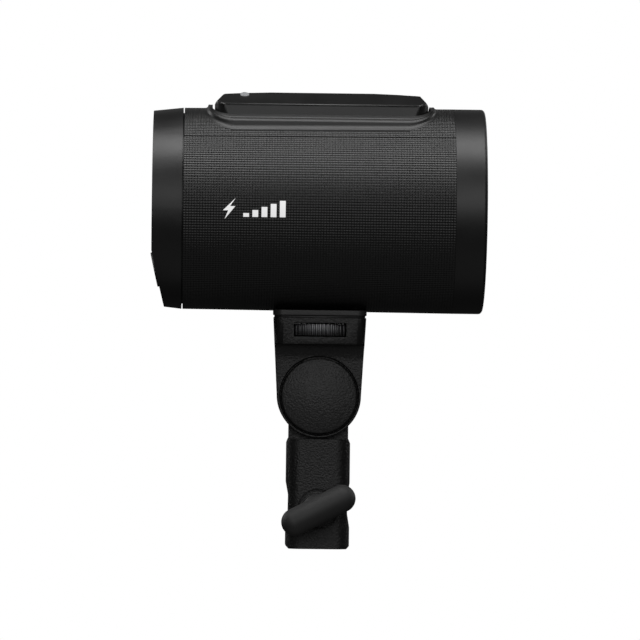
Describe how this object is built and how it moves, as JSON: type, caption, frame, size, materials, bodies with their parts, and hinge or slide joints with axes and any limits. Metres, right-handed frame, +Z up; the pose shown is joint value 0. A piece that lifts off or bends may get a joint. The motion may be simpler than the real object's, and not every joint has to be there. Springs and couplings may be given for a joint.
{
  "type": "monolight strobe",
  "caption": "Compact battery flash head: a short ribbed cylinder with a frosted front, a lift-off battery on top and a tilting stand socket with screw clamp below.",
  "frame": {"origin": "centre of the stand socket's mouth, at the bottom of the adapter", "axes": "+Z up along the socket's bore, +X the way the light shines, +Y to the side away from the clamp's handle"},
  "size_m": [0.1335, 0.0822, 0.1825],
  "materials": {
    "moulded_abs": "fine spark-eroded texture",
    "textured_skin": "fine square grid relief, rubbery",
    "satin_shell": "smooth satin",
    "battery_shell": "smooth satin",
    "soft_grip": "matt",
    "button_plastic": "satin",
    "light_guide": "satin",
    "steel": "satin",
    "black_wheel": "black anodised, knurled",
    "bright_aluminium": "bright",
    "magnet_nickel": "nickel plated",
    "brass": "plain",
    "frosted_glass": "frosted",
    "clear_glass": "clear",
    "display_glass": "polished",
    "display_core": "solder-masked board",
    "ceramic": "plain",
    "chassis_plastic": "plain",
    "capacitor_sleeve": "shrink sleeve",
    "cell_wrap": "wrapped can",
    "copper": "enamelled wire"
  },
  "bodies": {
    "stand_socket": {"socket_body": "moulded_abs", "clamp_bush": "steel", "friction_washers": "brass"},
    "clamp_shoe": {"clamp_shoe": "brass"},
    "clamp_handle": {"clamp_screw": "steel", "clamp_grip": "soft_grip"},
    "head": {"fork_bracket": "moulded_abs", "saddle_plate": "soft_grip", "plate_screws": "steel", "tilt_axle": "steel", "axle_cap": "moulded_abs", "lock_plate": "moulded_abs", "main_shell": "textured_skin", "top_cover": "textured_skin", "rear_cap": "satin_shell", "front_ring": "satin_shell", "bay_tub": "satin_shell", "bay_screws": "steel", "bay_contacts": "brass", "thread_insert": "brass", "front_glass": "frosted_glass", "glass_gasket": "soft_grip", "magnets": "magnet_nickel", "reflector": "bright_aluminium", "flash_tube": "clear_glass", "tube_holders": "ceramic", "led_module": "ceramic", "led_heatsink": "bright_aluminium", "chassis": "chassis_plastic", "flash_capacitors": "capacitor_sleeve", "capacitor_bracket": "chassis_plastic", "main_board": "display_core", "board_components": "chassis_plastic", "trigger_coil": "copper", "charge_transformer": "copper", "switch_module": "chassis_plastic", "radio_board": "display_core", "display_window": "display_glass", "display_panel": "display_core", "control_board": "display_core", "dial_encoder": "chassis_plastic", "key_switches": "chassis_plastic", "usb_socket": "steel"},
    "lock_handle": {"lock_nut": "brass", "lock_grip": "soft_grip"},
    "thumbwheel": {"thumbwheel": "black_wheel", "head_stud": "steel"},
    "dial": {"dial_ring": "soft_grip"},
    "select_key": {"select_button": "button_plastic"},
    "power_key": {"power_button": "button_plastic"},
    "test_key": {"test_button": "button_plastic"},
    "battery": {"battery_case": "battery_shell", "battery_cover": "battery_shell", "battery_cells": "cell_wrap", "battery_board": "display_core", "battery_pads": "brass", "release_spring": "steel"},
    "charge_key": {"charge_button": "light_guide"},
    "battery_release": {"release_slider": "soft_grip"}
  },
  "joints": [
    {"name": "head_tilt", "type": "hinge", "parent": "stand_socket", "child": "head", "pos_m": [0, 0, 0.0612], "axis": [0, 1, 0], "range_deg": [-80, 85]},
    {"name": "clamp_shoe_slide", "type": "slide", "parent": "stand_socket", "child": "clamp_shoe", "axis": [0, 1, 0], "range_m": [0, 0.002]},
    {"name": "clamp_turn", "type": "hinge", "parent": "clamp_shoe", "child": "clamp_handle", "pos_m": [0, -0.02, 0.016], "axis": [0, 1, 0], "range_deg": [0, 570]},
    {"name": "lock_turn", "type": "hinge", "parent": "head", "child": "lock_handle", "pos_m": [0, 0.02, 0.0612], "axis": [0, 1, 0], "range_deg": [-120, 0]},
    {"name": "wheel_turn", "type": "hinge", "parent": "head", "child": "thumbwheel", "pos_m": [0, 0, 0.0877], "axis": [0, 0, 1], "continuous": true},
    {"name": "dial_turn", "type": "hinge", "parent": "head", "child": "dial", "pos_m": [-0.0659, 0, 0.11117], "axis": [-0.9763, 0, -0.2164], "continuous": true},
    {"name": "select_press", "type": "slide", "parent": "head", "child": "select_key", "axis": [0.9763, 0, 0.2164], "range_m": [0, 0.0005], "stiffness_N_per_m": 400, "springref_m": -0.0008},
    {"name": "power_press", "type": "slide", "parent": "head", "child": "power_key", "axis": [0.9763, 0, 0.2164], "range_m": [0, 0.0005], "stiffness_N_per_m": 400, "springref_m": -0.0008},
    {"name": "test_press", "type": "slide", "parent": "head", "child": "test_key", "axis": [0.9763, 0, 0.2164], "range_m": [0, 0.0005], "stiffness_N_per_m": 400, "springref_m": -0.0008},
    {"name": "battery_lift", "type": "slide", "parent": "head", "child": "battery", "axis": [0, 0, 1], "range_m": [0, 0.032]},
    {"name": "charge_press", "type": "slide", "parent": "battery", "child": "charge_key", "axis": [0, 0.4735, -0.8808], "range_m": [0, 0.0005], "stiffness_N_per_m": 200, "springref_m": -0.0008},
    {"name": "release_pull", "type": "slide", "parent": "battery", "child": "battery_release", "axis": [-1, 0, 0], "range_m": [0, 0.002], "stiffness_N_per_m": 400, "springref_m": -0.001}
  ],
  "couplings": [
    {"joint": "clamp_shoe_slide", "follows": "clamp_turn", "m_per_rad": 0.00019894}
  ]
}
